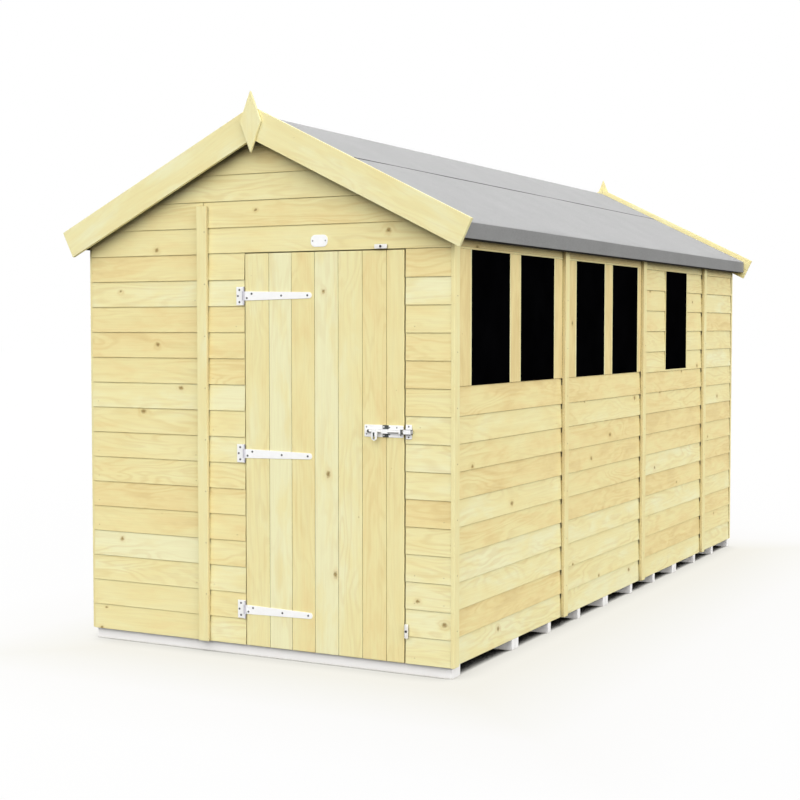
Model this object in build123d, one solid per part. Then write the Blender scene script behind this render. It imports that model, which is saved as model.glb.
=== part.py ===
from build123d import *
import os
from math import sqrt

os.makedirs("parts", exist_ok=True)

# All sizes are in millimetres. X runs across the gable, Y along the ridge, Z up.
# The gable with the door faces -Y and the wall with the windows faces +X.

# Wall panels, which set the plan: a skin of lapped boards on a light frame.
front_left_panel_width = 610.5
door_panel_width = 1187.5
first_side_panel_length = 1234.0
side_panel_length = 1150.0
last_side_panel_length = 651.0
wall_height = 1801.2
gable_joint_height = 106.2
cladding_thickness = 14.0
stud_width = 28.0
cover_strip_width = 50.0
cover_strip_thickness = 16.0
cover_strip_end_gap = 18.0
left_strip_inset = 8.0
panel_gap = 2.0

# Floor: boards on cross bearers, made in panels.
bearer_height = 48.0
bearer_width = 36.0
first_bearer_width = 74.0
bearer_end_inset = 1.0
floor_thickness = 11.0
floor_edge_gap = 6.0
first_floor_panel_length = 641.0
later_floor_panels = 3
bearer_place_shares = (0.345, 0.675)

# Windows in the long wall: two pairs and a single one.
window_height = 555.0
window_head_depth = 115.7
first_jamb_width = 196.0
first_end_jamb_width = 128.0
second_jamb_width = 158.0
second_end_jamb_width = 82.0
single_jamb_width = 414.0
single_end_jamb_width = 340.0
mullion_width = 118.0
pane_depth = 2.0
pane_thickness = 4.0

# Roof.
roof_rise_share = 0.4925
roof_board_thickness = 11.0
felt_thickness = 2.5
eaves_overhang_width = 64.0
gable_overhang_length = 41.0
eaves_depth = 66.0
eaves_board_thickness = 14.0
ridge_felt_width = 734.0
gable_batten_depth = 28.0
ridge_beam_depth = 70.0
purlin_depth = 45.0
purlin_place_share = 0.5
rafter_depth = 40.0
ridge_gap = 1.0

# Bargeboards and finials.
barge_width = 123.0
barge_thickness = 16.0
barge_upstand_height = 29.0
barge_tip_length = 51.4
finial_height = 256.0
finial_width = 104.0
finial_thickness = 12.5
finial_tip_height = 62.0

# Doorway and ledged door.
hinge_side_width = 209.5
lock_side_width = 204.0
door_head_depth = 115.2
door_hinge_gap = 5.0
door_lock_gap = 5.5
door_head_gap = 5.0
door_back_gap = 5.0
door_board_thickness = 12.0
door_stop_width = 14.0
ledge_height = 90.0
ledge_thickness = 22.0
ledge_inset = 40.0
brace_width = 80.0

# T hinges: a plate with two knuckles and a pin, and a strap with the knuckle between.
top_hinge_depth = 179.0
low_hinge_height = 155.0
hinge_plate_width = 31.0
hinge_plate_height = 78.0
sheet_metal_thickness = 2.5
strap_length = 336.0
strap_root_height = 40.0
strap_tip_height = 26.0
knuckle_radius = 5.5
knuckle_face_gap = 0.5
knuckle_end_gap = 0.5
knuckle_side_clearance = 1.5
pin_radius = 2.5
pin_clearance = 0.3

# Sliding pad bolt, with the keeper on the wall.
bolt_height = 946.0
bolt_plate_length = 180.0
bolt_plate_height = 50.0
bolt_plate_end_inset = 2.0
plate_corner_radius = 4.0
bolt_bar_radius = 6.0
bolt_bar_length = 160.0
bolt_bar_end_inset = 3.0
bolt_face_clearance = 1.5
guide_clearance = 0.5
guide_wall_thickness = 2.5
guide_length = 14.0
staple_length = 28.0
staple_offset = 86.0
staple_foot_thickness = 2.5
stop_thickness = 4.0
stop_clearance = 1.0
handle_offset = 45.0
handle_neck_width = 10.0
handle_width = 24.0
handle_thickness = 5.0
handle_drop_height = 38.0
handle_hole_radius = 5.5
handle_clearance = 2.0
keeper_edge_gap = 3.0
keeper_width = 28.0
keeper_height = 59.0
keeper_loop_length = 34.0
keeper_clearance = 1.2

# Turn buttons on pivot screws, one over the door and one beside it.
top_button_length = 57.0
top_button_width = 18.0
top_button_offset = 108.0
lower_button_length = 58.0
lower_button_width = 15.0
lower_button_height = 133.5
button_edge_clearance = 1.25
button_thickness = 6.0
button_corner_radius = 3.0
button_boss_height = 5.0
button_boss_radius = 6.5
button_face_gap = 0.3
screw_radius = 2.5
screw_head_radius = 5.0
screw_head_height = 2.5
screw_clearance = 0.3

# Shares, clearances and lines that several pieces use.
half_share = 0.5
quarter_turn = 90.0
fit_clearance = 2.0
cut_overrun = 5.0
wall_width = front_left_panel_width + door_panel_width
wall_length = first_side_panel_length + side_panel_length + side_panel_length + last_side_panel_length
right = wall_width * half_share
left = -right
back = wall_length * half_share
front = -back
base = bearer_height
floor_top = base + floor_thickness
side_top = base + wall_height
door_head = side_top - door_head_depth
window_head = side_top - window_head_depth
sill = window_head - window_height
gable_line = side_top + gable_joint_height
slope = sqrt(1 + roof_rise_share * roof_rise_share)
slope_cos = 1 / slope
slope_sin = roof_rise_share / slope
roof_board_top = felt_thickness + felt_thickness
roof_underside = roof_board_top + roof_board_thickness
wall_cut = roof_underside + fit_clearance
ridge_height = side_top + wall_cut * slope + roof_rise_share * right
half_gap = panel_gap * half_share
half_ridge_gap = ridge_gap * half_share


def roof_line(x, drop):
    """Height of the roof at a distance from the ridge, a drop below its outer skin."""
    return ridge_height - drop * slope - roof_rise_share * abs(x)


def roof_reach(height, drop):
    """Distance from the ridge at which the roof line comes down to a height."""
    return (ridge_height - drop * slope - height) / roof_rise_share


def block(x0, x1, y0, y1, z0, z1):
    """A box between two corners."""
    corner = (Align.MIN, Align.MIN, Align.MIN)
    return Pos(x0, y0, z0) * Box(x1 - x0, y1 - y0, z1 - z0, align=corner)


def prism(points, y0, y1):
    """A gable-wise outline of X and Z points carried along Y."""
    face = Plane.XZ * Polygon(*points, align=None)
    return extrude(Pos(0, y0, 0) * face, amount=y1 - y0, dir=(0, 1, 0))


def both_slopes(points, y0, y1):
    """An outline carried along Y on each side of the ridge."""
    other = [(-x, z) for x, z in reversed(points)]
    return [prism(points, y0, y1), prism(other, y0, y1)]


def rod_x(x0, x1, y, z, radius):
    """A round rod along X."""
    low = (Align.CENTER, Align.CENTER, Align.MIN)
    return Pos(x0, y, z) * Rot(0, quarter_turn, 0) * Cylinder(radius, x1 - x0, align=low)


def rod_y(x, y0, y1, z, radius):
    """A round rod along Y."""
    low = (Align.CENTER, Align.CENTER, Align.MIN)
    return Pos(x, y0, z) * Rot(-quarter_turn, 0, 0) * Cylinder(radius, y1 - y0, align=low)


def rod_z(x, y, z0, z1, radius):
    """A round rod along Z."""
    low = (Align.CENTER, Align.CENTER, Align.MIN)
    return Pos(x, y, z0) * Cylinder(radius, z1 - z0, align=low)


def rounded(piece, radius):
    """A flat plate with its four corners rounded."""
    return fillet(piece.edges().filter_by(Axis.Y), radius)


def save(name, pieces):
    """Write one named piece, or several that belong together."""
    solids = []
    for piece in pieces:
        solids.extend(piece.solids())
    shape = solids[0] if len(solids) == 1 else Compound(children=solids)
    shape.label = name
    export_step(shape, "parts/" + name + ".step")


# Floor panels and the bearers under them.
floor_inset = cladding_thickness + floor_edge_gap
floor_front = front + floor_inset
floor_back = back - floor_inset
floor_panel_length = (floor_back - floor_front - first_floor_panel_length) / later_floor_panels
floor_joints = [floor_front + first_floor_panel_length + n * floor_panel_length for n in range(later_floor_panels)]
floor_starts = [floor_front] + [joint + half_gap for joint in floor_joints]
floor_ends = [joint - half_gap for joint in floor_joints] + [floor_back]
floor_side = right - floor_inset
bearer_side = right - bearer_end_inset
floors = []
bearers = []
for index, (start, end) in enumerate(zip(floor_starts, floor_ends)):
    floors.append(block(-floor_side, floor_side, start, end, base, floor_top))
    start_width = bearer_width if index else first_bearer_width
    rows = [(start, start + start_width), (end - bearer_width, end)]
    if index:
        for share in bearer_place_shares:
            middle = start + share * (end - start)
            rows.append((middle - bearer_width * half_share, middle + bearer_width * half_share))
    for y0, y1 in rows:
        bearers.append(block(-bearer_side, bearer_side, y0, y1, 0, base))
save("floor_deck", floors)
save("floor_bearers", bearers)

# Gable skins, in panels that the roof line cuts.
front_joint = left + front_left_panel_width
doorway_left = front_joint + hinge_side_width
doorway_right = right - lock_side_width
gable_reach = roof_reach(gable_line, wall_cut)
front_inside = front + cladding_thickness
back_inside = back - cladding_thickness
narrow_end = front_joint - half_gap
wide_start = front_joint + half_gap
narrow_outline = [
    (left, base),
    (narrow_end, base),
    (narrow_end, gable_line),
    (-gable_reach, gable_line),
    (left, side_top),
]


def wide_outline(foot):
    """The wide gable panel from a given height up to the gable joint."""
    return [
        (wide_start, foot),
        (right, foot),
        (right, side_top),
        (gable_reach, gable_line),
        (wide_start, gable_line),
    ]


gable_outline = [(-gable_reach, gable_line), (gable_reach, gable_line), (0, roof_line(0, wall_cut))]
save("front_left_cladding", [prism(narrow_outline, front, front_inside)])
save("front_over_door_cladding", [prism(wide_outline(door_head), front, front_inside)])
save("front_gable_cladding", [prism(gable_outline, front, front_inside)])
save("front_hinge_side_cladding", [block(wide_start, doorway_left, front, front_inside, base, door_head)])
save("front_lock_side_cladding", [block(doorway_right, right, front, front_inside, base, door_head)])
back_panels = [prism(narrow_outline, back_inside, back), prism(wide_outline(base), back_inside, back)]
save("back_cladding", back_panels)
save("back_gable_cladding", [prism(gable_outline, back_inside, back)])

# Long walls. Their skins stand between the gable skins.
first_joint = front + first_side_panel_length
second_joint = first_joint + side_panel_length
third_joint = second_joint + side_panel_length
side_joints = [first_joint, second_joint, third_joint]
side_starts = [front_inside] + [joint + half_gap for joint in side_joints]
side_ends = [joint - half_gap for joint in side_joints] + [back_inside]
skin_in = right - cladding_thickness
save("left_cladding", [block(left, -skin_in, a, b, base, side_top) for a, b in zip(side_starts, side_ends)])


def window_pair(start, end):
    """Starts and ends of two equal windows with a mullion between them."""
    width = (end - start - mullion_width) * half_share
    return [(start, start + width), (end - width, end)]


first_pair = window_pair(front + first_jamb_width, first_joint - first_end_jamb_width)
second_pair = window_pair(first_joint + second_jamb_width, second_joint - second_end_jamb_width)
single = (second_joint + single_jamb_width, third_joint - single_end_jamb_width)
windows = first_pair + second_pair + [single]

lower_panels = []
window_boards = []
heads = []
for pair, start, end in zip((first_pair, second_pair), side_starts, side_ends):
    lower_panels.append(block(skin_in, right, start, end, base, sill))
    heads.append(block(skin_in, right, start, end, window_head, side_top))
    board_starts = [start] + [window[1] for window in pair]
    board_ends = [window[0] for window in pair] + [end]
    for a, b in zip(board_starts, board_ends):
        window_boards.append(block(skin_in, right, a, b, sill, window_head))
save("right_lower_cladding", lower_panels)
save("window_boards", window_boards)
save("window_heads", heads)
third_panel = block(skin_in, right, side_starts[2], side_ends[2], base, side_top)
third_panel -= block(skin_in - cut_overrun, right + cut_overrun, single[0], single[1], sill, window_head)
save("right_third_cladding", [third_panel])
save("right_fourth_cladding", [block(skin_in, right, side_starts[3], side_ends[3], base, side_top)])

pane_out = right - pane_depth
pane_in = pane_out - pane_thickness
save("window_panes", [block(pane_in, pane_out, a, b, sill, window_head) for a, b in windows])

# Framing behind the skins: rails along each wall with studs between them.
frame_front = front_inside + stud_width
frame_back = back_inside - stud_width
frame_side = skin_in - stud_width
low_rail_top = floor_top + stud_width
high_rail_top = side_top - fit_clearance
high_rail_foot = high_rail_top - stud_width
half_stud = stud_width * half_share
door_stud_left = doorway_left - stud_width
door_stud_right = doorway_right + stud_width
rails = [
    block(-skin_in, door_stud_left, front_inside, frame_front, floor_top, low_rail_top),
    block(door_stud_right, skin_in, front_inside, frame_front, floor_top, low_rail_top),
    block(doorway_left, doorway_right, front_inside, frame_front, door_head, door_head + stud_width),
    block(-skin_in, skin_in, front_inside, frame_front, high_rail_foot, high_rail_top),
    block(-skin_in, skin_in, frame_back, back_inside, floor_top, low_rail_top),
    block(-skin_in, skin_in, frame_back, back_inside, high_rail_foot, high_rail_top),
]
for z0, z1 in ((floor_top, low_rail_top), (high_rail_foot, high_rail_top)):
    rails.append(block(frame_side, skin_in, frame_front, frame_back, z0, z1))
    rails.append(block(-skin_in, -frame_side, frame_front, frame_back, z0, z1))
save("wall_rails", rails)

studs = []
gable_stud_starts = [-skin_in, front_joint - half_stud, frame_side]
wide_middle = front_joint + (skin_in - front_joint) * half_share
for x in gable_stud_starts:
    studs.append(block(x, x + stud_width, front_inside, frame_front, low_rail_top, high_rail_foot))
for x in (door_stud_left, doorway_right):
    studs.append(block(x, x + stud_width, front_inside, frame_front, floor_top, high_rail_foot))
for x in gable_stud_starts + [wide_middle]:
    studs.append(block(x, x + stud_width, frame_back, back_inside, low_rail_top, high_rail_foot))
edge_stud_starts = [frame_front, frame_back - stud_width] + [joint - half_stud for joint in side_joints]
middle_stud_starts = [a + (b - a) * half_share for a, b in zip(side_starts, side_ends)]
for y in edge_stud_starts + middle_stud_starts:
    studs.append(block(-skin_in, -frame_side, y, y + stud_width, low_rail_top, high_rail_foot))
window_stud_starts = []
for a, b in windows:
    window_stud_starts += [a - stud_width, b]
for y in edge_stud_starts + window_stud_starts + middle_stud_starts[3:]:
    studs.append(block(frame_side, skin_in, y, y + stud_width, low_rail_top, high_rail_foot))
save("wall_studs", studs)

window_rails = []
for a, b in windows:
    window_rails.append(block(frame_side, skin_in, a, b, sill - stud_width, sill))
    window_rails.append(block(frame_side, skin_in, a, b, window_head, window_head + stud_width))
save("window_rails", window_rails)

# Cover strips over the panel joints, on the front corners of the long walls and on the back corners.
half_strip = cover_strip_width * half_share
strip_side = right + cover_strip_thickness
side_strip_top = roof_line(strip_side, wall_cut)
gable_strip_top = gable_line - cover_strip_end_gap
joint_rows = [joint - half_strip for joint in side_joints]
strips = []
for y in [front] + joint_rows:
    strips.append(block(right, strip_side, y, y + cover_strip_width, base, side_strip_top))
for y in [front + left_strip_inset] + joint_rows:
    strips.append(block(-strip_side, left, y, y + cover_strip_width, base, side_strip_top))
for y0, y1 in ((front - cover_strip_thickness, front), (back, back + cover_strip_thickness)):
    strips.append(block(front_joint - half_strip, front_joint + half_strip, y0, y1, base, gable_strip_top))
corner_strip_top = roof_line(right, roof_underside + gable_batten_depth) - fit_clearance
for x in (left, right - cover_strip_width):
    strips.append(block(x, x + cover_strip_width, back, back + cover_strip_thickness, base, corner_strip_top))
save("cover_strips", strips)

# Roof frame: ridge beam, purlins, gable rafters and king posts.
beam_top = roof_line(half_stud, roof_underside)
beam_foot = beam_top - ridge_beam_depth
save("ridge_beam", [block(-half_stud, half_stud, front_inside, back_inside, beam_foot, beam_top)])
purlin_near = right * purlin_place_share
purlin_far = purlin_near + stud_width * slope_cos
purlin_lean = purlin_depth * slope_sin
purlin_fall = purlin_depth * slope_cos
purlin_outline = [
    (purlin_near, roof_line(purlin_near, roof_underside)),
    (purlin_near - purlin_lean, roof_line(purlin_near, roof_underside) - purlin_fall),
    (purlin_far - purlin_lean, roof_line(purlin_far, roof_underside) - purlin_fall),
    (purlin_far, roof_line(purlin_far, roof_underside)),
]
save("purlins", both_slopes(purlin_outline, frame_front, frame_back))
rafter_foot = wall_cut + rafter_depth
rafter_near = half_stud + fit_clearance
rafter_outline = [
    (rafter_near, roof_line(rafter_near, wall_cut)),
    (rafter_near, roof_line(rafter_near, rafter_foot)),
    (roof_reach(high_rail_top, rafter_foot), high_rail_top),
    (skin_in, high_rail_top),
    (skin_in, roof_line(skin_in, wall_cut)),
]
gable_frames = []
for y0, y1 in ((front_inside, frame_front), (frame_back, back_inside)):
    gable_frames += both_slopes(rafter_outline, y0, y1)
    gable_frames.append(block(-half_stud, half_stud, y0, y1, high_rail_top, beam_foot))
save("gable_frames", gable_frames)

# Roof boards, eaves boards and the battens behind the bargeboards.
eaves_side = right + eaves_overhang_width
board_side = eaves_side - felt_thickness
roof_front = front - gable_overhang_length
roof_back = back + gable_overhang_length
board_outline = [
    (half_ridge_gap, roof_line(half_ridge_gap, roof_board_top)),
    (half_ridge_gap, roof_line(half_ridge_gap, roof_underside)),
    (board_side, roof_line(board_side, roof_underside)),
    (board_side, roof_line(board_side, roof_board_top)),
]
save("roof_boards", both_slopes(board_outline, roof_front, roof_back))
eaves_foot = roof_line(eaves_side, felt_thickness) - eaves_depth
eaves_in = board_side - eaves_board_thickness
eaves_outline = [
    (eaves_in, eaves_foot),
    (board_side, eaves_foot),
    (board_side, roof_line(board_side, roof_underside)),
    (eaves_in, roof_line(eaves_in, roof_underside)),
]
save("eaves_boards", both_slopes(eaves_outline, roof_front, roof_back))
batten_foot = roof_underside + gable_batten_depth
batten_outline = [
    (half_ridge_gap, roof_line(half_ridge_gap, roof_underside)),
    (half_ridge_gap, roof_line(half_ridge_gap, batten_foot)),
    (right, roof_line(right, batten_foot)),
    (right, roof_line(right, roof_underside)),
]
save("gable_battens", both_slopes(batten_outline, roof_front, front) + both_slopes(batten_outline, back, roof_back))

# Felt: a sheet down each slope, folded over the eaves, and a sheet over the ridge.
felt_outline = [
    (half_ridge_gap, roof_line(half_ridge_gap, felt_thickness)),
    (half_ridge_gap, roof_line(half_ridge_gap, roof_board_top)),
    (board_side, roof_line(board_side, roof_board_top)),
    (board_side, eaves_foot),
    (eaves_side, eaves_foot),
    (eaves_side, roof_line(eaves_side, felt_thickness)),
]
save("roof_felt", both_slopes(felt_outline, roof_front, roof_back))
ridge_felt_reach = ridge_felt_width * half_share
ridge_outline = [
    (0, roof_line(0, 0)),
    (-ridge_felt_reach, roof_line(ridge_felt_reach, 0)),
    (-ridge_felt_reach, roof_line(ridge_felt_reach, felt_thickness)),
    (0, roof_line(0, felt_thickness)),
    (ridge_felt_reach, roof_line(ridge_felt_reach, felt_thickness)),
    (ridge_felt_reach, roof_line(ridge_felt_reach, 0)),
]
save("ridge_felt", [prism(ridge_outline, roof_front, roof_back)])

# Bargeboards with square-cut ends, and a diamond finial over each apex.
barge_apex = ridge_height + barge_upstand_height
barge_start = barge_apex - roof_rise_share * half_ridge_gap
barge_reach = eaves_side + barge_tip_length
barge_tip = barge_apex - roof_rise_share * barge_reach
barge_outline = [
    (half_ridge_gap, barge_start),
    (half_ridge_gap, barge_start - barge_width * slope),
    (barge_reach - barge_width * slope_sin, barge_tip - barge_width * slope_cos),
    (barge_reach, barge_tip),
]
barge_front = roof_front - barge_thickness
barge_back = roof_back + barge_thickness
save("front_bargeboards", both_slopes(barge_outline, barge_front, roof_front))
save("back_bargeboards", both_slopes(barge_outline, roof_back, barge_back))
finial_top = barge_apex + finial_tip_height
finial_middle = finial_top - finial_height * half_share
half_finial = finial_width * half_share
finial_outline = [
    (0, finial_top),
    (-half_finial, finial_middle),
    (0, finial_top - finial_height),
    (half_finial, finial_middle),
]
finials = [prism(finial_outline, barge_front - finial_thickness, barge_front)]
finials.append(prism(finial_outline, barge_back, barge_back + finial_thickness))
save("finials", finials)

# Door leaf with ledges and braces on its back, and the stops it closes towards.
leaf_left = doorway_left + door_hinge_gap
leaf_right = doorway_right - door_lock_gap
leaf_top = door_head - door_head_gap
leaf_back = front + door_board_thickness
ledge_back = leaf_back + ledge_thickness
save("door_leaf", [block(leaf_left, leaf_right, front, leaf_back, base, leaf_top)])
top_hinge = leaf_top - top_hinge_depth
low_hinge = base + low_hinge_height
middle_hinge = low_hinge + (top_hinge - low_hinge) * half_share
hinge_levels = [top_hinge, middle_hinge, low_hinge]
ledge_left = leaf_left + ledge_inset
ledge_right = leaf_right - ledge_inset
half_ledge = ledge_height * half_share
ledges = []
for z in hinge_levels:
    ledges.append(block(ledge_left, ledge_right, leaf_back, ledge_back, z - half_ledge, z + half_ledge))
save("door_ledges", ledges)
braces = []
for upper, lower in zip(hinge_levels, hinge_levels[1:]):
    z0 = lower + half_ledge
    z1 = upper - half_ledge
    outline = [(ledge_left, z0), (ledge_left + brace_width, z0), (ledge_right, z1), (ledge_right - brace_width, z1)]
    braces.append(prism(outline, leaf_back, ledge_back))
save("door_braces", braces)
stop_front = leaf_back + door_back_gap
stop_left = doorway_right - door_stop_width
stop_foot = door_head - door_stop_width
stops = [block(stop_left, doorway_right, stop_front, frame_front, floor_top, stop_foot - fit_clearance)]
stops.append(block(doorway_left, doorway_right, stop_front, frame_front, stop_foot, door_head))
save("door_stops", stops)

# T hinges: plates with the outer knuckles and the pin on the wall, straps on the door.
pivot_x = leaf_left - knuckle_radius
pivot_y = front - knuckle_radius - knuckle_face_gap
metal_front = front - sheet_metal_thickness
half_plate = hinge_plate_height * half_share
half_middle = strap_root_height * half_share
knuckle_side = knuckle_radius + knuckle_side_clearance
plate_right = pivot_x - knuckle_side
plate_left = plate_right - hinge_plate_width
strap_left = pivot_x + knuckle_side
tip_radius = strap_tip_height * half_share
tip_x = pivot_x + strap_length - tip_radius
plates = []
straps = []
for z in hinge_levels:
    plate = block(plate_left, plate_right, metal_front, front, z - half_plate, z + half_plate)
    plate += rod_z(pivot_x, pivot_y, z - half_plate, z + half_plate, pin_radius)
    for z0, z1 in ((z - half_plate, z - half_middle), (z + half_middle, z + half_plate)):
        plate += block(plate_right, pivot_x, metal_front, front, z0, z1)
        plate += rod_z(pivot_x, pivot_y, z0, z1, knuckle_radius)
    plates.append(plate)
    z0 = z - half_middle + knuckle_end_gap
    z1 = z + half_middle - knuckle_end_gap
    outline = [(strap_left, z0), (tip_x, z - tip_radius), (tip_x, z + tip_radius), (strap_left, z1)]
    strap = prism(outline, metal_front, front)
    strap += rod_y(tip_x, metal_front, front, z, tip_radius)
    strap += block(pivot_x, strap_left, metal_front, front, z0, z1)
    strap += rod_z(pivot_x, pivot_y, z0, z1, knuckle_radius)
    strap -= rod_z(pivot_x, pivot_y, z0 - cut_overrun, z1 + cut_overrun, pin_radius + pin_clearance)
    straps.append(strap)
save("hinge_plates", plates)
save("hinge_straps", straps)

# Pad bolt: a plate with folded guides, a round bar with a ring handle, and the keeper.
bolt_z = base + bolt_height
bar_standoff = sheet_metal_thickness + bolt_face_clearance + bolt_bar_radius
bar_y = front - bar_standoff
bolt_plate_right = leaf_right - bolt_plate_end_inset
bolt_plate_left = bolt_plate_right - bolt_plate_length
half_bolt_plate = bolt_plate_height * half_share
bar_right = leaf_right - bolt_bar_end_inset
bar_left = bar_right - bolt_bar_length


def folded_guide(x0, x1, clearance):
    """A strip folded over the bolt bar."""
    inner = bolt_bar_radius + clearance
    outer = inner + guide_wall_thickness
    guide = block(x0, x1, bar_y - outer, front, bolt_z - outer, bolt_z + outer)
    return guide - block(x0 - cut_overrun, x1 + cut_overrun, bar_y - inner, metal_front, bolt_z - inner, bolt_z + inner)


plate_foot = bolt_z - half_bolt_plate
plate_top = bolt_z + half_bolt_plate
plate = block(bolt_plate_left, bolt_plate_right, metal_front, front, plate_foot, plate_top)
plate = rounded(plate, plate_corner_radius)
plate += folded_guide(bolt_plate_right - guide_length, bolt_plate_right, guide_clearance)
staple_left = bolt_plate_left + staple_offset
staple_right = staple_left + staple_length
plate += folded_guide(staple_left, staple_right, guide_clearance)
foot_front = metal_front - staple_foot_thickness
foot_in = bolt_bar_radius + guide_clearance
for z0, z1 in ((plate_foot, bolt_z - foot_in), (bolt_z + foot_in, plate_top)):
    plate += block(staple_left, staple_right, foot_front, front, z0, z1)
stop_right = bar_left - stop_clearance
stop_tip = bar_y - bolt_bar_radius
plate += block(stop_right - stop_thickness, stop_right, stop_tip, front, bolt_z - bolt_bar_radius, bolt_z + bolt_bar_radius)
save("bolt_plate", [plate])

handle_back = bar_y - bolt_bar_radius - guide_clearance - guide_wall_thickness - handle_clearance
handle_front = handle_back - handle_thickness
handle_left = bolt_plate_left + handle_offset
handle_right = handle_left + handle_width
half_handle = handle_width * half_share
ring_x = handle_left + half_handle
ring_z = bolt_z - handle_drop_height + half_handle
bar = rod_x(bar_left, bar_right, bar_y, bolt_z, bolt_bar_radius)
neck_right = handle_left + handle_neck_width
bar += block(handle_left, neck_right, handle_front, bar_y, bolt_z - bolt_bar_radius, bolt_z + bolt_bar_radius)
bar += block(handle_left, handle_right, handle_front, handle_back, ring_z, bolt_z + bolt_bar_radius)
bar += rod_y(ring_x, handle_front, handle_back, ring_z, half_handle)
bar -= rod_y(ring_x, handle_front - cut_overrun, handle_back + cut_overrun, ring_z, handle_hole_radius)
save("bolt_bar", [bar])

half_keeper = keeper_height * half_share
keeper_left = doorway_right + keeper_edge_gap
keeper_right = keeper_left + keeper_width
keeper_middle = keeper_left + keeper_width * half_share
loop_left = keeper_middle - keeper_loop_length * half_share
keeper = block(keeper_left, keeper_right, metal_front, front, bolt_z - half_keeper, bolt_z + half_keeper)
keeper = rounded(keeper, plate_corner_radius)
keeper += folded_guide(loop_left, loop_left + keeper_loop_length, keeper_clearance)
save("bolt_keeper", [keeper])

# Turn buttons: a flat bar on a pivot screw, turned clear of the door.
button_back = front - button_boss_height
button_front = button_back - button_thickness
head_back = button_front - button_face_gap
half_top_length = top_button_length * half_share
half_top_width = top_button_width * half_share
half_lower_length = lower_button_length * half_share
half_lower_width = lower_button_width * half_share
top_x = doorway_right - top_button_offset
top_z = door_head + half_top_width + button_edge_clearance
lower_x = doorway_right + half_lower_width + button_edge_clearance
lower_z = base + lower_button_height
screws = []
for name, x, z, dx, dz in (
    ("top_turn_button", top_x, top_z, half_top_length, half_top_width),
    ("lower_turn_button", lower_x, lower_z, half_lower_width, half_lower_length),
):
    button = rounded(block(x - dx, x + dx, button_front, button_back, z - dz, z + dz), button_corner_radius)
    button += rod_y(x, button_back, front - button_face_gap, z, button_boss_radius)
    button -= rod_y(x, button_front - cut_overrun, front + cut_overrun, z, screw_radius + screw_clearance)
    save(name, [button])
    screw = rod_y(x, head_back, front, z, screw_radius)
    screw += rod_y(x, head_back - screw_head_height, head_back, z, screw_head_radius)
    screws.append(screw)
save("button_screws", screws)
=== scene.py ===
import math
import random

import bmesh
import bpy
import numpy as np
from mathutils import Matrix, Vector


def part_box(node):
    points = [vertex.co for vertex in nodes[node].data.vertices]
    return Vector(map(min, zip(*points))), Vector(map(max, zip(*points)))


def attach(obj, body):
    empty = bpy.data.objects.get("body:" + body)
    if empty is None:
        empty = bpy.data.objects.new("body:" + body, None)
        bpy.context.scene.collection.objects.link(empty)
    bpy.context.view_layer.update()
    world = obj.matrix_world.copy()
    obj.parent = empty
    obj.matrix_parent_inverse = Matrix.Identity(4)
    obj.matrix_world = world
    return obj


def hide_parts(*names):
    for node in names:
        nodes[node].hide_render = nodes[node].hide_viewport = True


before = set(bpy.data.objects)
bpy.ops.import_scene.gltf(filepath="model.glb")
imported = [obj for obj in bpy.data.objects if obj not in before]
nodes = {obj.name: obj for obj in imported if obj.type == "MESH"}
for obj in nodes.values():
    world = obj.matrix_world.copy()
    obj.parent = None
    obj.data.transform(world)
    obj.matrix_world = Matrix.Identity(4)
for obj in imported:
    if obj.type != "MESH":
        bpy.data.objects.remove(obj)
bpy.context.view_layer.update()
scene = bpy.context.scene
rng = random.Random(2024)

# Lines of the shed, in metres, read from the fixed frame.
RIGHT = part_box("right_fourth_cladding")[1].x
LEFT = -RIGHT
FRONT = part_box("front_left_cladding")[0].y
BACK = -FRONT
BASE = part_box("front_left_cladding")[0].z
SIDE_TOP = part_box("right_fourth_cladding")[1].z
GABLE_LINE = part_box("front_gable_cladding")[0].z
DOOR_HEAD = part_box("front_over_door_cladding")[0].z
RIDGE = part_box("ridge_felt")[1].z

# Wall boards: height of a course, depth of the wall's skin, a board's thickness, the step at each
# lap of the window wall, how far a board runs up behind the next, and how far it keeps its slope.
COURSES = 17
PITCH = (GABLE_LINE - BASE) / COURSES
SKIN = 0.014
BOARD = 0.0043
SIDE_STEP = 0.0060
LAP = 0.012
OVERRUN = 1.12
BOARD_EDGE = 0.0009

# Trim: width of the beads along the panes, and the reach of the corner strips along a wall.
BEAD = 0.009
CORNER = 0.12

# Roof: rise over run, slope length over run, and the depths of felt, roof boards and gap.
RISE = 0.4925
SLOPE = math.sqrt(1 + RISE * RISE)
FELT = 0.0025
ROOF_BOARD = 0.011
ROOF_GAP = 0.002
WALL_CUT = 2 * FELT + ROOF_BOARD + ROOF_GAP
WALL_PEAK = RIDGE - WALL_CUT * SLOPE

# Directions: across the gable, along the ridge and upright, and out of the front and the left wall.
ACROSS = (1, 0, 0)
ALONG = (0, 1, 0)
UP = (0, 0, 1)
FORWARD = (0, -1, 0)
LEFTWARD = (-1, 0, 0)

# A middling tone for pieces that need none of their own.
MID_TONE = 0.5


def rgb(r, g, b):
    """A display colour of 0 to 255 as a linear one."""
    def one(v):
        v = v / 255
        return v / 12.92 if v <= 0.04045 else ((v + 0.055) / 1.055) ** 2.4
    return (one(r), one(g), one(b), 1.0)


def grey(v):
    return (v, v, v, 1)


# Node helpers.
def node(tree, kind, inputs=None, **props):
    item = tree.nodes.new(kind)
    for key, value in props.items():
        setattr(item, key, value)
    for key, value in (inputs or {}).items():
        if isinstance(value, bpy.types.NodeSocket):
            tree.links.new(value, item.inputs[key])
        else:
            item.inputs[key].default_value = value
    return item


def calc(tree, op, a, b=0.0, c=0.0, clamp=False):
    return node(tree, "ShaderNodeMath", {0: a, 1: b, 2: c}, operation=op, use_clamp=clamp).outputs[0]


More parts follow.
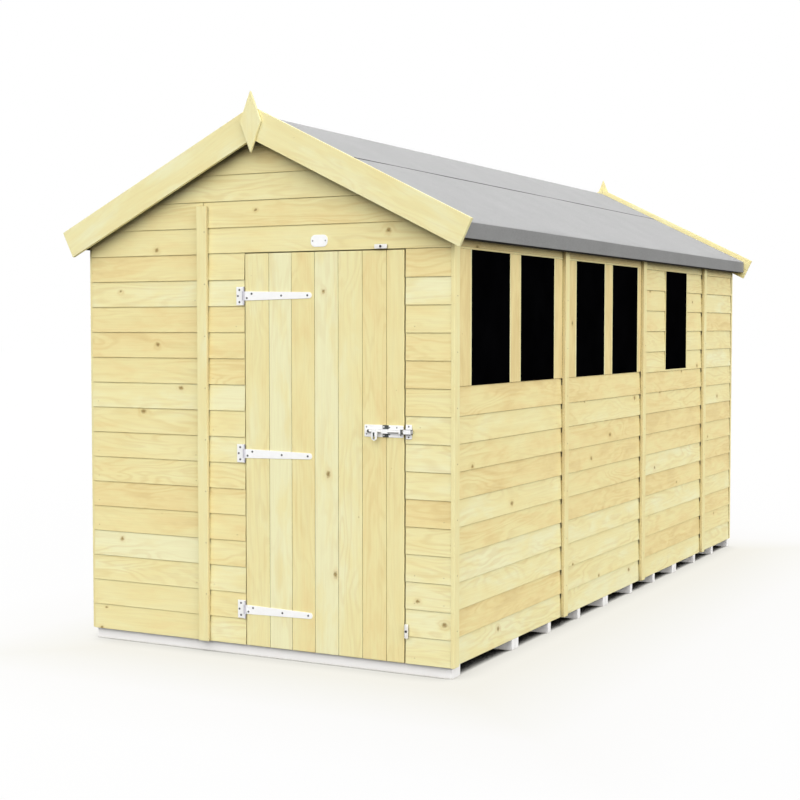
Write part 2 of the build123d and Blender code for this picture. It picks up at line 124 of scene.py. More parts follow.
def mix(tree, fac, a, b, blend="MIX"):
    return node(tree, "ShaderNodeMix", {0: fac, 6: a, 7: b}, data_type="RGBA", blend_type=blend).outputs[2]


def spread(tree, value, low, high, to_low, to_high):
    kind = "ShaderNodeMapRange"
    return node(tree, kind, {0: value, 1: low, 2: high, 3: to_low, 4: to_high}).outputs[0]


def ramp(tree, fac, stops):
    item = node(tree, "ShaderNodeValToRGB", {0: fac})
    points = item.color_ramp.elements
    while len(points) < len(stops):
        points.new(0.5)
    for point, (place, colour) in zip(points, stops):
        point.position = place
        point.color = colour
    return item.outputs[0]


def noise(tree, vector, scale, detail=2.0, rough=0.5, twist=0.0):
    settings = {"Vector": vector, "Scale": scale, "Detail": detail, "Roughness": rough, "Distortion": twist}
    return node(tree, "ShaderNodeTexNoise", settings).outputs[0]


def stretch(tree, axes, scales):
    """Three coordinates, each with its own scale."""
    scaled = [calc(tree, "MULTIPLY", axis, scale) for axis, scale in zip(axes, scales)]
    return node(tree, "ShaderNodeCombineXYZ", dict(enumerate(scaled))).outputs[0]


def local_place(tree):
    return node(tree, "ShaderNodeTexCoord").outputs["Object"]


def emboss(tree, shader, height, strength, distance):
    """Fine relief in a surface."""
    bump = node(tree, "ShaderNodeBump", {"Strength": strength, "Distance": distance, "Height": height})
    tree.links.new(bump.outputs[0], shader.inputs["Normal"])


def fresh(name):
    mat = bpy.data.materials.new(name)
    mat.use_nodes = True
    tree = mat.node_tree
    tree.nodes.clear()
    shader = tree.nodes.new("ShaderNodeBsdfPrincipled")
    out = tree.nodes.new("ShaderNodeOutputMaterial")
    tree.links.new(shader.outputs[0], out.inputs[0])
    return mat, tree, shader


# Shade of a recess, from closed to open.
RECESS = [(0.16, (0.03, 0.024, 0.014, 1)), (0.32, (0.40, 0.34, 0.23, 1))]
RECESS += [(0.43, (0.86, 0.83, 0.77, 1)), (0.54, grey(1.0))]


def recess_shade(tree, colour, reach, deep):
    """Darkens a colour deep in a recess, where little light comes in."""
    free = node(tree, "ShaderNodeAmbientOcclusion", {"Distance": reach}, samples=6).outputs["AO"]
    stops = [(place + deep, shade) for place, shade in RECESS]
    return mix(tree, 1.0, colour, ramp(tree, free, stops), "MULTIPLY")


# Wood grain. The scales are per metre along, across and into a board.
KNOT_SCATTER = (2.6, 8.0, 1.0)
KNOT_OVAL = (0.55, 0.95)
KNOT_SIZES = (0.0036, 0.0105)
KNOT_RIM = 0.0022
KNOT_SHARE = 0.86
HALO_SHARE = 0.30
LINE_SCALES = (1.7, 9.0, 1.0)
LINES_ACROSS = 2.0
LINES_ROUND_KNOT = 0.11
LINE_COUNT = 58.0
STREAK_SCALES = (5.0, 170.0, 170.0)
BLOTCH_SCALES = (3.2, 11.0, 3.0)
BLOTCH_SHIFT = 0.26
WOOD_ROUGH = 0.62
LINE_COLOUR = rgb(206, 168, 92)
STREAK_COLOUR = rgb(184, 144, 70)
HALO_COLOUR = rgb(212, 178, 108)
KNOT_PALE = rgb(168, 140, 80)
KNOT_DARK = rgb(120, 94, 48)


def wood(name, stops, lines=0.26, streaks=0.10, knots=0.76, reach=0.12, deep=0.0):
    """Softwood: tone by board, fine streaks, growth lines that bend round knots, blotches, and painted
    shade in recesses.
    """
    mat, tree, shader = fresh(name)
    grain = node(tree, "ShaderNodeAttribute", attribute_name="grain").outputs["Vector"]
    tone = node(tree, "ShaderNodeAttribute", attribute_name="tone").outputs["Fac"]
    axes = list(node(tree, "ShaderNodeSeparateXYZ", {0: grain}).outputs)

    # Knots sit at scattered points, a few to a board, with an uneven rim.
    scatter = stretch(tree, axes, KNOT_SCATTER)
    cells = node(tree, "ShaderNodeTexVoronoi", {"Vector": scatter, "Scale": 1.0}, voronoi_dimensions="2D")
    spot = list(node(tree, "ShaderNodeSeparateXYZ", {0: cells.outputs["Position"]}).outputs)
    chance = list(node(tree, "ShaderNodeSeparateColor", {0: cells.outputs["Color"]}).outputs)
    dx = calc(tree, "SUBTRACT", axes[0], calc(tree, "DIVIDE", spot[0], KNOT_SCATTER[0]))
    dy = calc(tree, "SUBTRACT", axes[1], calc(tree, "DIVIDE", spot[1], KNOT_SCATTER[1]))
    dx = calc(tree, "MULTIPLY", dx, spread(tree, chance[1], 0.0, 1.0, *KNOT_OVAL))
    far = calc(tree, "ADD", calc(tree, "MULTIPLY", dx, dx), calc(tree, "MULTIPLY", dy, dy))
    far = calc(tree, "SQRT", far)
    rim = noise(tree, grain, 110.0)
    far = calc(tree, "ADD", far, spread(tree, rim, 0.3, 0.7, -KNOT_RIM, KNOT_RIM))
    has = calc(tree, "GREATER_THAN", chance[0], knots)
    size = calc(tree, "MULTIPLY", spread(tree, chance[2], 0.0, 1.0, *KNOT_SIZES), has)
    ratio = calc(tree, "DIVIDE", far, calc(tree, "MAXIMUM", size, 0.0001))
    knot = spread(tree, ratio, 0.45, 1.3, 1.0, 0.0)
    halo = spread(tree, ratio, 1.0, 4.2, 1.0, 0.0)
    halo = calc(tree, "MULTIPLY", halo, halo)

    # Growth lines are the contours of a field drawn out along the board.
    drawn = stretch(tree, axes, LINE_SCALES)
    field = noise(tree, drawn, 1.0, 2.5, 0.5, 0.5)
    field = calc(tree, "ADD", field, calc(tree, "MULTIPLY", axes[1], LINES_ACROSS))
    field = calc(tree, "ADD", field, calc(tree, "MULTIPLY", halo, LINES_ROUND_KNOT))
    wave = calc(tree, "SINE", calc(tree, "MULTIPLY", field, LINE_COUNT))
    wave = spread(tree, wave, -0.3, 1.0, 0.0, 1.0)
    wide = noise(tree, drawn, 0.8, 1.0)
    line = calc(tree, "MULTIPLY", wave, spread(tree, wide, 0.36, 0.62, 0.12, 1.0))

    # Streaks are fine and long, blotches broad and soft.
    streak = noise(tree, stretch(tree, axes, STREAK_SCALES), 1.0, 5.0, 0.6)
    blotch = noise(tree, stretch(tree, axes, BLOTCH_SCALES), 1.0, 4.0, 0.6, 0.3)
    shift = spread(tree, blotch, 0.32, 0.68, -BLOTCH_SHIFT, BLOTCH_SHIFT)
    colour = ramp(tree, calc(tree, "ADD", tone, shift, clamp=True), stops)
    colour = mix(tree, calc(tree, "MULTIPLY", line, lines), colour, LINE_COLOUR)
    colour = mix(tree, spread(tree, streak, 0.40, 0.75, 0.0, streaks), colour, STREAK_COLOUR)
    colour = mix(tree, calc(tree, "MULTIPLY", halo, HALO_SHARE), colour, HALO_COLOUR)
    ring = noise(tree, grain, 200.0, 3.0)
    dark = mix(tree, spread(tree, ring, 0.35, 0.65, 0.0, 1.0), KNOT_PALE, KNOT_DARK)
    colour = mix(tree, calc(tree, "MULTIPLY", knot, KNOT_SHARE), colour, dark)
    gloss = spread(tree, streak, 0.3, 0.7, WOOD_ROUGH - 0.06, WOOD_ROUGH + 0.12)
    tree.links.new(recess_shade(tree, colour, reach, deep), shader.inputs["Base Color"])
    tree.links.new(gloss, shader.inputs["Roughness"])
    shader.inputs["Specular IOR Level"].default_value = 0.25
    height = calc(tree, "ADD", calc(tree, "MULTIPLY", streak, 0.7), calc(tree, "MULTIPLY", line, 0.5))
    height = calc(tree, "SUBTRACT", height, calc(tree, "MULTIPLY", knot, 0.5))
    emboss(tree, shader, height, 0.35, 0.0006)
    return mat


def from_to(low, high):
    return [(0.0, rgb(*low)), (1.0, rgb(*high))]


# A knot limit above one gives clear timber.
CLEAR = 1.1
pale = [(0.0, rgb(232, 211, 151)), (0.2, rgb(240, 221, 160)), (0.45, rgb(242, 229, 169))]
pale += [(0.75, rgb(243, 234, 178)), (1.0, rgb(244, 240, 194))]
frame_tones = from_to((226, 196, 138), (238, 222, 172))
strip_side_shade_tones = from_to((226, 212, 164), (238, 226, 178))
wedge_shade_tones = from_to((204, 180, 120), (222, 202, 144))
soffit_shade_tones = from_to((214, 184, 124), (226, 202, 146))
bearer_tones = from_to((251, 249, 246), (255, 254, 252))
button_tones = from_to((246, 244, 238), (252, 251, 248))
clad_wood = wood("lapped_softwood", pale, lines=0.20)
# The gables and the window wall take deeper painted recess shade: under the bargeboards, and at the laps
# and strips.
gable_wood = wood("gable_softwood", pale, lines=0.20, deep=0.08)
side_wood = wood("side_softwood", pale, lines=0.20, deep=0.13)
trim_wood = wood("planed_softwood", pale, lines=0.15, knots=0.80)
clear_wood = wood("clear_softwood", pale, lines=0.10, streaks=0.07, knots=CLEAR)
frame_wood = wood("frame_softwood", frame_tones, knots=0.6)
# Painted shade: a darker, duller copy of the strip wood for the side faces of the joint strips.
strip_side_shade_wood = wood("strip_side_shade_softwood", strip_side_shade_tones, 0.10, 0.10, CLEAR)
# Painted shade: the wedges behind the joint strips are a darker brown wood that stands for the shade in the
# gap.
wedge_shade_wood = wood("wedge_shade_softwood", wedge_shade_tones, 0.10, 0.10, CLEAR, deep=0.05)
lining_wood = wood("lining_softwood", pale, lines=0.10, streaks=0.07, knots=CLEAR, reach=0.002)
# Painted shade: the gable battens under the bargeboards take a darker wood with much deeper painted recess
# shade.
soffit_shade_wood = wood("soffit_shade_softwood", soffit_shade_tones, knots=0.8, deep=0.34)
bearer_wood = wood("bearer_softwood", bearer_tones, 0.02, 0.02, 0.97, reach=0.02)
button_wood = wood("button_softwood", button_tones, 0.03, 0.05, CLEAR)


def granules(tree, place, scale):
    """A value of its own for each small cell."""
    cells = node(tree, "ShaderNodeTexVoronoi", {"Vector": place, "Scale": scale, "Randomness": 1.0})
    return node(tree, "ShaderNodeSeparateColor", {0: cells.outputs["Color"]}).outputs[0]


def sheet_board(name, low, high):
    """Pressed board of small flakes."""
    mat, tree, shader = fresh(name)
    place = local_place(tree)
    flake = granules(tree, place, 55.0)
    fine = noise(tree, place, 240.0, 4.0)
    value = calc(tree, "ADD", calc(tree, "MULTIPLY", flake, 0.7), calc(tree, "MULTIPLY", fine, 0.3))
    tree.links.new(ramp(tree, value, [(0.1, low), (0.9, high)]), shader.inputs["Base Color"])
    shader.inputs["Roughness"].default_value = 0.8
    emboss(tree, shader, value, 0.4, 0.0008)
    return mat


flake_board = sheet_board("flake_board", rgb(186, 150, 96), rgb(226, 200, 148))


def felt(name, low, high):
    """Mineral-faced felt: fine granules over slow patches."""
    mat, tree, shader = fresh(name)
    place = local_place(tree)
    grit = granules(tree, place, 420.0)
    slow = noise(tree, place, 5.0, 4.0, 0.6)
    mid = noise(tree, place, 60.0, 3.0, 0.6)
    value = calc(tree, "ADD", calc(tree, "MULTIPLY", grit, 0.40), calc(tree, "MULTIPLY", slow, 0.35))
    value = calc(tree, "ADD", value, calc(tree, "MULTIPLY", mid, 0.25))
    tree.links.new(ramp(tree, value, [(0.2, low), (0.8, high)]), shader.inputs["Base Color"])
    shader.inputs["Roughness"].default_value = 0.9
    shader.inputs["Specular IOR Level"].default_value = 0.2
    emboss(tree, shader, grit, 0.5, 0.0007)
    return mat


felt_top = felt("mineral_felt", rgb(157, 157, 157), rgb(179, 179, 179))
# Painted shade: the fold at the eaves takes a darker copy of the same felt.
felt_fold = felt("mineral_felt_fold_painted_shade", rgb(128, 128, 127), rgb(150, 150, 149))
# The felt's near-black core, for cut edges and inner faces; under the eaves it is also painted shade.
felt_core_and_shade = felt("felt_core_and_eaves_shade", rgb(16, 15, 14), rgb(36, 35, 34))


def metal(name, low, high, rough):
    """Coated or plated metal with faint clouding."""
    mat, tree, shader = fresh(name)
    place = local_place(tree)
    cloud = noise(tree, place, 90.0, 5.0, 0.6)
    fine = noise(tree, place, 900.0)
    gloss = spread(tree, cloud, 0.3, 0.7, rough - 0.06, rough + 0.08)
    tree.links.new(ramp(tree, cloud, [(0.3, low), (0.7, high)]), shader.inputs["Base Color"])
    tree.links.new(gloss, shader.inputs["Roughness"])
    emboss(tree, shader, fine, 0.15, 0.0002)
    return mat


white_metal = metal("white_coated_metal", rgb(251, 251, 250), rgb(255, 255, 255), 0.38)
# Painted shade: grey and dark copies of the coated metal for faces away from the light; the dark copy is
# partly dark metal too.
dark_metal = metal("dark_metal_and_painted_shade", rgb(44, 48, 46), rgb(70, 74, 72), 0.45)
grey_shade_metal = metal("grey_painted_shade_metal", rgb(128, 128, 134), rgb(156, 156, 162), 0.45)
shade_metal = metal("shaded_white_metal", rgb(186, 184, 194), rgb(202, 201, 210), 0.45)
screw_metal = metal("screw_metal", rgb(26, 25, 28), rgb(48, 46, 50), 0.5)
nail_metal = metal("nail_metal", rgb(118, 98, 60), rgb(150, 128, 82), 0.5)


def glazing():
    """Dark panes with a faint film in tint and gloss."""
    mat, tree, shader = fresh("dark_glazing")
    film = noise(tree, local_place(tree), 6.0, 4.0, 0.6)
    tint = ramp(tree, film, [(0.3, (0.0006, 0.0006, 0.0008, 1.0)), (0.7, (0.0016, 0.0016, 0.002, 1.0))])
    tree.links.new(tint, shader.inputs["Base Color"])
    tree.links.new(spread(tree, film, 0.3, 0.7, 0.10, 0.22), shader.inputs["Roughness"])
    shader.inputs["Specular IOR Level"].default_value = 0.0
    shader.inputs["IOR"].default_value = 1.05
    return mat


pane_glass = glazing()


# Mesh helpers. A piece gathers boards, each with its own grain and tone.
class Piece:
    def __init__(self, name):
        self.name = name
        self.verts = []
        self.faces = []
        self.kinds = []
        self.grain = []
        self.tone = []

    def add(self, bm, axis, tone):
        """Takes the boards of a small mesh, with the grain along an axis."""
        bm.verts.index_update()
        centre = sum((v.co for v in bm.verts), Vector()) / len(bm.verts)
        e1 = Vector(axis).normalized()
        e2 = e1.cross(Vector(UP))
        if e2.length < 0.3:
            e2 = e1.cross(Vector(ALONG))
        e2.normalize()
        e3 = e1.cross(e2)
        flat = [e2, e3]
        reach = [max(abs((v.co - centre).dot(e)) for v in bm.verts) for e in flat]
        if reach[0] < reach[1]:
            flat.reverse()
        shift = Vector((rng.uniform(0, 60), rng.uniform(0, 60), rng.uniform(0, 60)))
        start = len(self.verts)
        for v in bm.verts:
            d = v.co - centre
            self.verts.append(v.co.copy())
            self.grain.append((d.dot(e1) + shift.x, d.dot(flat[0]) + shift.y, d.dot(flat[1]) + shift.z))
            self.tone.append(tone)
        for f in bm.faces:
            self.faces.append([start + v.index for v in f.verts])
            self.kinds.append(0)
        bm.free()

    def make(self, materials, body, stands_for, smooth=None):
        mesh = bpy.data.meshes.new(self.name)
        mesh.from_pydata(self.verts, [], self.faces)
        layer = mesh.attributes.new("grain", "FLOAT_VECTOR", "POINT")
        layer.data.foreach_set("vector", np.array(self.grain, np.float32).ravel())
        layer = mesh.attributes.new("tone", "FLOAT", "POINT")
        layer.data.foreach_set("value", np.array(self.tone, np.float32))
        for mat in materials:
            mesh.materials.append(mat)
        mesh.polygons.foreach_set("material_index", self.kinds)
        if smooth is not None:
            mesh.polygons.foreach_set("use_smooth", [True] * len(mesh.polygons))
            mesh.set_sharp_from_angle(angle=math.radians(smooth))
        mesh.update()
        obj = bpy.data.objects.new(self.name, mesh)
        scene.collection.objects.link(obj)
        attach(obj, body)
        if stands_for:
            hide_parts(*stands_for)
        return obj


def ease(bm, edges, width, segments):
    """Rounds the given edges."""
    bmesh.ops.bevel(
        bm, geom=edges, offset=width, segments=segments, profile=0.5, affect="EDGES", clamp_overlap=True)


def solid(front, back, edge=0.0, segments=2):
    """A prism between two outlines of the same number of points, with eased edges."""
    bm = bmesh.new()
    a = [bm.verts.new(p) for p in front]
    b = [bm.verts.new(p) for p in back]
    bm.faces.new(a)
    bm.faces.new(list(reversed(b)))
    for i in range(len(a)):
        j = (i + 1) % len(a)
        bm.faces.new((a[j], a[i], b[i], b[j]))
    bmesh.ops.recalc_face_normals(bm, faces=bm.faces[:])
    if edge:
        ease(bm, bm.edges[:], edge, segments)
    return bm


def rect(u0, u1, v0, v1):
    return [(u0, v0), (u1, v0), (u1, v1), (u0, v1)]


def clip(points, a, b, c):
    """The part of an outline where a*u + b*v <= c."""
    kept = []
    for i, p in enumerate(points):
        q = points[(i + 1) % len(points)]
        dp = a * p[0] + b * p[1] - c
        dq = a * q[0] + b * q[1] - c
        if dp <= 0:
            kept.append(p)
        if dp * dq < 0:
            t = dp / (dp - dq)
            kept.append((p[0] + t * (q[0] - p[0]), p[1] + t * (q[1] - p[1])))
    return kept


# A place on a wall: along it, up it and into it.
def on_front(u, v, d):
    return Vector((u, FRONT + d, v))


def on_back(u, v, d):
    return Vector((u, BACK - d, v))


def on_right(u, v, d):
    return Vector((RIGHT - d, u, v))


def on_left(u, v, d):
    return Vector((LEFT + d, u, v))


def lap_step(wall):
    return SIDE_STEP if wall is on_right else BOARD


def lapped(piece, outline, wall, foot, tone):
    """One lapped board: its lower edge stands proud and its top tucks under the next."""
    step = lap_step(wall)

    def depth(p):
        return max(0.0, min((p[1] - foot) / PITCH, OVERRUN) * step)

    front = [wall(p[0], p[1], depth(p)) for p in outline]
    back = [wall(p[0], p[1], depth(p) + BOARD) for p in outline]
    axis = wall(1, 0, 0) - wall(0, 0, 0)
    piece.add(solid(front, back, BOARD_EDGE, 1), axis, tone)


# Ranges of tone for warm, plain and fair boards, and how much lower they lie on the window wall.
WARM_TONES = (0.26, 0.36)
PLAIN_TONES = (0.46, 0.70)
FAIR_TONES = (0.78, 0.95)
SIDE_LOWER = 0.10


def course_tone(warm, fair, course, wall):
    """Each board has its own tone; the named courses are the warm and the fair ones."""
    tones = WARM_TONES if course in warm else (FAIR_TONES if course in fair else PLAIN_TONES)
    return rng.uniform(*tones) - (SIDE_LOWER if wall is on_right else 0.0)


# A board this little below a sill is notched round it, and one this near a head runs over it.
SILL_NOTCH = 0.05
HEAD_NEAR = 0.03


def boards(piece, u0, u1, v0, v1, wall, warm=(), fair=(), window=None, roof=False):
    """Courses of lapped boards over a panel, cut round a window or under the roof."""
    last = int(round((v1 - BASE) / PITCH - 0.3))
    first = int((v0 - BASE) / PITCH + 0.5)
    for course in range(first, last):
        foot = max(v0, BASE + course * PITCH) if course == first else BASE + course * PITCH
        top = v1 if course == last - 1 else BASE + (course + 1) * PITCH + LAP
        outlines = [rect(u0, u1, foot, top)]
        if window:
            w0, w1, w_sill, w_head = window
            if foot < w_sill < top and w_sill - foot < SILL_NOTCH:
                notch = [(w1, top), (w1, w_sill), (w0, w_sill), (w0, top)]
                outlines = [[(u0, foot), (u1, foot), (u1, top)] + notch + [(u0, top)]]
            elif w_sill <= foot < w_head - HEAD_NEAR:
                top = min(top, w_head) if course == last - 1 else top
                outlines = [rect(u0, w0, foot, top), rect(w1, u1, foot, top)]
        if roof:
            outlines = [clip(clip(o, RISE, 1.0, WALL_PEAK), -RISE, 1.0, WALL_PEAK) for o in outlines]
        tone = course_tone(warm, fair, course, wall)
        for outline in outlines:
            if len(outline) > 2:
                lapped(piece, outline, wall, foot, tone)


def welded(node_name):
    """A CAD node's mesh with its facets joined into whole faces."""
    bm = bmesh.new()
    bm.from_mesh(nodes[node_name].data)
    bmesh.ops.remove_doubles(bm, verts=bm.verts[:], dist=1e-5)
    bmesh.ops.dissolve_limit(bm, angle_limit=math.radians(1.0), verts=bm.verts[:], edges=bm.edges[:])
    return bm


def islands(bm):
    """The vertices of each separate solid."""
    seen = set()
    groups = []
    for start in bm.verts:
        if start in seen:
            continue
        seen.add(start)
        stack = [start]
        group = []
        while stack:
            v = stack.pop()
            group.append(v)
            for e in v.link_edges:
                w = e.other_vert(v)
                if w not in seen:
                    seen.add(w)
                    stack.append(w)
        groups.append(group)
    return groups


def parts_of(node_name):
    """The corner points of each of a node's solids."""
    bm = welded(node_name)
    parts = [[v.co.copy() for v in group] for group in islands(bm)]
    bm.free()
    return parts


def span(points, axis):
    values = [p[axis] for p in points]
    return min(values), max(values)


def spans_of(node_name):
    """Where a node's solids begin and end along the shed, in order."""
    return sorted(span(part, 1) for part in parts_of(node_name))


# Edges that turn by more than this many degrees are eased.
SHARP = 35


def dress(node_name, materials, body, edge=0.0012, segments=2, low=0.3, high=0.8,
          smooth=None, paint=None, cuts=()):
    """A CAD node's solids with eased edges, and with grain along each one's length."""
    bm = welded(node_name)
    for place, across in cuts:
        everything = bm.verts[:] + bm.edges[:] + bm.faces[:]
        bmesh.ops.bisect_plane(bm, geom=everything, plane_co=place, plane_no=across)
    limit = math.radians(SHARP)
    sharp = [e for e in bm.edges if len(e.link_faces) == 2 and e.calc_face_angle(0.0) > limit]
    ease(bm, sharp, edge, segments)
    piece = Piece(node_name + "_dressed")
    for group in islands(bm):
        part = bmesh.new()
        place = {v: part.verts.new(v.co) for v in group}
        faces = {f for v in group for f in v.link_faces}
        for f in sorted(faces, key=lambda f: f.index):
            part.faces.new([place[v] for v in f.verts])
        part.normal_update()
        co = np.array([v.co for v in group], float)
        co -= (co.min(0) + co.max(0)) / 2
        axes = np.linalg.eigh(co.T @ co)[1]
        kinds = [paint(f.calc_center_median(), f.normal) for f in part.faces] if paint else None
        piece.add(part, axes[:, 2], rng.uniform(low, high))
        if kinds:
            piece.kinds[-len(kinds):] = kinds
    bm.free()
    return piece.make(materials, body, (node_name,), smooth)


# Walls of lapped boards. A panel has its span, foot, top, and its warm and fair courses.
def clad(name, material, panels, wall, window=None, roof=False):
    piece = Piece(name + "_boards")
    for u0, u1, v0, v1, warm, fair in panels:
        boards(piece, u0, u1, v0, v1, wall, warm, fair, window, roof)
    piece.make([material], "shed", (name + "_cladding",))


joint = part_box("front_left_cladding")[1].x
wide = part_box("front_hinge_side_cladding")[0].x
doorway_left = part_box("front_hinge_side_cladding")[1].x
doorway_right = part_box("front_lock_side_cladding")[0].x
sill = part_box("window_panes")[0].z
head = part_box("window_panes")[1].z
pane_spans = spans_of("window_panes")
single = pane_spans[4]
left_spans = spans_of("left_cladding")

narrow = (LEFT, joint, BASE, GABLE_LINE, {4, 5, 11, 12, 14}, {3, 9, 13})
clad("front_left", clad_wood, [narrow], on_front, roof=True)
hinge_side = (wide, doorway_left, BASE, DOOR_HEAD, {4, 5, 10, 11, 12}, {0, 2, 7, 9, 13})
clad("front_hinge_side", clad_wood, [hinge_side], on_front)
lock_side = (doorway_right, RIGHT, BASE, DOOR_HEAD, {5, 10, 11, 14}, {0, 1, 2, 7, 8, 13})
clad("front_lock_side", clad_wood, [lock_side], on_front)
clad("front_over_door", clad_wood, [(wide, RIGHT, DOOR_HEAD, GABLE_LINE, (), ())], on_front, roof=True)
gable = (LEFT, RIGHT, GABLE_LINE, WALL_PEAK, (), ())
clad("front_gable", gable_wood, [gable], on_front, roof=True)
clad("back_gable", gable_wood, [gable], on_back, roof=True)
back_spans = ((LEFT, joint), (wide, RIGHT))
back_panels = [(u0, u1, BASE, GABLE_LINE, {2, 7, 12}, {4, 9, 14}) for u0, u1 in back_spans]
clad("back", clad_wood, back_panels, on_back, roof=True)


def left_panels():
    """The plain long wall, with four warm courses and up to four fair ones to a panel."""
    for u0, u1 in left_spans:
        warm = set(rng.sample(range(16), 4))
        fair = set(rng.sample(range(16), 4)) - warm
        yield u0, u1, BASE, SIDE_TOP, warm, fair


clad("left", clad_wood, left_panels(), on_left)
lower_tones = (({1, 6, 9}, {0, 2, 3, 5}), ({4, 6, 7, 9}, {0, 1, 2, 3}))
lower_spans = spans_of("right_lower_cladding")
lower_panels = [(*ends, BASE, sill, *tones) for ends, tones in zip(lower_spans, lower_tones)]
clad("right_lower", side_wood, lower_panels, on_right)
third = (*spans_of("right_third_cladding")[0], BASE, SIDE_TOP, {1, 4, 6, 7, 9}, {0, 3, 5})
single_opening = (single[0] - BEAD, single[1] + BEAD, sill, head)
clad("right_third", side_wood, [third], on_right, window=single_opening)
fourth = (*spans_of("right_fourth_cladding")[0], BASE, SIDE_TOP, {2, 4, 5, 7, 12}, {0, 3, 8, 10, 13})
clad("right_fourth", side_wood, [fourth], on_right)

# Planed timber. The side faces of the strips over the wall joints take a darker, duller copy of the wood:
# painted shade. The undersides of the eaves boards take the near-black felt core, as felt turned under them
# and as painted shade.
ON_WALL = 0.001


def strip_side_shade_paint(c, n):
    """Painted shade on the side faces of the strips over the wall joints, on the gables and on the long
    walls.
    """
    gable_joint = abs(n.x) > 0.5 and abs(c.y) > BACK + ON_WALL and abs(c.x) < RIGHT - CORNER
    side_joint = abs(n.y) > 0.5 and abs(c.x) > RIGHT + ON_WALL and abs(c.y) < BACK - CORNER
    return 1 if gable_joint or side_joint else 0


# Painted shade: faces turned down take the near-black felt core, as felt under the eaves boards and as the
# shade there.
def eaves_underside_shade_paint(c, n):
    return 1 if n.z < -0.5 else 0


strip_woods = [clear_wood, strip_side_shade_wood]
dress("cover_strips", strip_woods, "shed", 0.0012, 2, 0.42, 0.75, paint=strip_side_shade_paint)
for name in ("front_bargeboards", "back_bargeboards", "finials"):
    dress(name, [clear_wood], "shed", 0.0012, 2, 0.66, 0.8)
dress("eaves_boards", [clear_wood, felt_core_and_shade], "shed", 0.0012, 2, paint=eaves_underside_shade_paint)

# Upright boards and heads round the windows, with a fair bead along each pane.
TRIM_EDGE = 0.0012
SET_BACK = 0.0006
BEAD_TONE = 0.75
SINGLE_BEAD_TONE = 0.5
HEAD_BEAD_TONE = 0.45
TOUCH = 0.001


def upright(piece, u0, u1, v0, v1, d, tone, axis):
    outline = rect(u0, u1, v0, v1)
    face = [on_right(u, v, d) for u, v in outline]
    piece.add(solid(face, [on_right(u, v, SKIN) for u, v in outline], TRIM_EDGE, 2), axis, tone)


piece = Piece("window_board_pieces")
starts = [ends[0] for ends in pane_spans]
stops = [ends[1] for ends in pane_spans]
for u0, u1 in spans_of("window_boards"):
    if min(abs(u0 - e) for e in stops) < TOUCH:
        upright(piece, u0, u0 + BEAD, sill, head, 0.0, BEAD_TONE, UP)
        u0 += BEAD
    if min(abs(u1 - e) for e in starts) < TOUCH:
        upright(piece, u1 - BEAD, u1, sill, head, 0.0, BEAD_TONE, UP)
        u1 -= BEAD
    upright(piece, u0, u1, sill, head, SET_BACK, rng.uniform(0.02, 0.14), UP)
single_top = BASE + 15 * PITCH
for u0 in (single[0] - BEAD, single[1]):
    upright(piece, u0, u0 + BEAD, sill, single_top, 0.0, SINGLE_BEAD_TONE, UP)
piece.make([trim_wood], "shed", ("window_boards",))
piece = Piece("window_head_pieces")
for u0, u1 in spans_of("window_heads"):
    upright(piece, u0, u1, head, head + BEAD, 0.0, HEAD_BEAD_TONE, ALONG)
    upright(piece, u0, u1, head + BEAD, SIDE_TOP, SET_BACK, rng.uniform(0.1, 0.25), ALONG)
piece.make([trim_wood], "shed", ("window_heads",))

# Framing, bearers, floor, roof boards and panes.
framing = dict.fromkeys(("wall_rails", "wall_studs", "window_rails", "ridge_beam", "purlins"), frame_wood)
framing.update(gable_frames=frame_wood, gable_battens=soffit_shade_wood, door_stops=lining_wood)
for name, timber in framing.items():
    dress(name, [timber], "shed", 0.001, 1, 0.2, 0.9)
dress("floor_bearers", [bearer_wood], "shed", 0.0003, 1, 0.2, 0.9)
for name in ("door_ledges", "door_braces"):
    dress(name, [frame_wood], "door", 0.0015, 2, 0.4, 0.9)
for name, mat in (("floor_deck", flake_board), ("roof_boards", flake_board), ("window_panes", pane_glass)):
    nodes[name].data.materials.clear()
    nodes[name].data.materials.append(mat)

# Door leaf of seven tongued boards, with the joints and tones from left to right.
DOOR_JOINTS = [0.045, 0.156, 0.269, 0.382, 0.496, 0.608]
DOOR_TONES = [0.66, 1.0, 0.46, 0.96, 0.74, 0.38, 0.55]
DOOR_GAP = 0.0006
DOOR_EDGE = 0.0022
TONGUE_HALF = 0.004
TONGUE_SHORT = 0.003
TONGUE_FRONT, TONGUE_BACK = 0.0032, 0.0035
TONGUE_TONE = 0.3
low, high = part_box("door_leaf")
lines = [low.x] + DOOR_JOINTS + [high.x]
piece = Piece("door_boards")
for i, tone in enumerate(DOOR_TONES):
    x0 = lines[i] + (DOOR_GAP if i else 0.0)
    x1 = lines[i + 1] - (DOOR_GAP if i < len(DOOR_JOINTS) else 0.0)
    outline = rect(x0, x1, low.z, high.z)
    face = [(u, low.y, v) for u, v in outline]
    piece.add(solid(face, [(u, high.y, v) for u, v in outline], DOOR_EDGE, 2), UP, tone)
    if i:
        x0, x1 = lines[i] - TONGUE_HALF, lines[i] + TONGUE_HALF
        outline = rect(x0, x1, low.z + TONGUE_SHORT, high.z - TONGUE_SHORT)
        face = [(u, low.y + TONGUE_FRONT, v) for u, v in outline]
        piece.add(solid(face, [(u, high.y - TONGUE_BACK, v) for u, v in outline]), UP, TONGUE_TONE)
piece.make([trim_wood], "door", ("door_leaf",))

